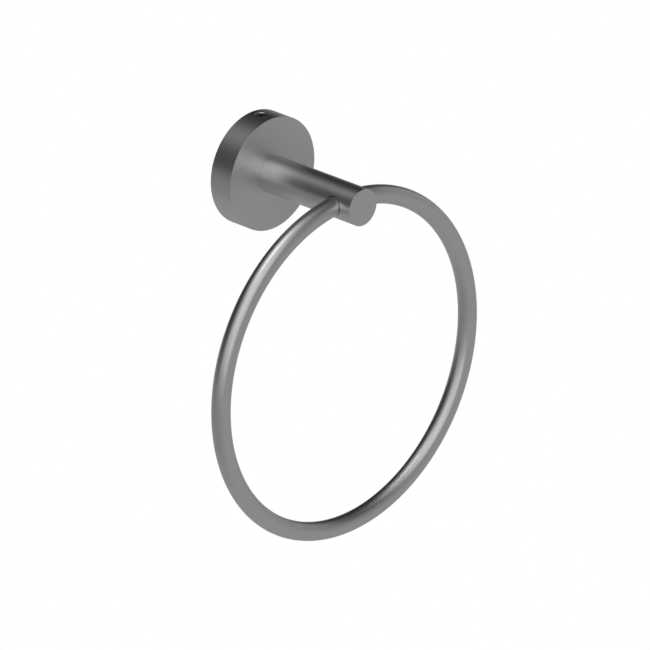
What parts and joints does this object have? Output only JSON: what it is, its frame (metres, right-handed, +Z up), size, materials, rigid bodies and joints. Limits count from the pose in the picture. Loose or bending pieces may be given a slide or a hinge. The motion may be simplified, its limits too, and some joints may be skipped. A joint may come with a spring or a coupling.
{
  "type": "towel ring",
  "caption": "Wall mounted towel ring: a round rod ring hangs loose in a straight round post that stands out from a round wall rose.",
  "frame": {"origin": "centre of the rose and of the wall bracket, on the wall plane", "axes": "+Y into the wall, square to it; +Z up; +X to the right as a person facing the wall sees it; the towel ring stands out from the wall towards -Y"},
  "size_m": [0.173, 0.072, 0.196],
  "materials": {
    "satin_steel": "fine satin, finely blasted stainless steel",
    "bracket_steel": "bare turned stainless steel",
    "grub_steel": "oiled dark stainless steel",
    "screw_steel": "plain stainless steel"
  },
  "bodies": {
    "wall_mount": {"rose": "satin_steel", "post": "satin_steel", "wall_bracket": "bracket_steel", "grub_screw": "grub_steel", "fixing_screw": "screw_steel", "flat_washer": "screw_steel", "spring_washer": "screw_steel"},
    "ring": {"ring": "satin_steel"}
  },
  "joints": [
    {"name": "ring_swing", "type": "hinge", "parent": "wall_mount", "child": "ring", "pos_m": [0, -0.061, 0], "axis": [-1, 0, 0], "range_deg": [-20, 200]}
  ]
}
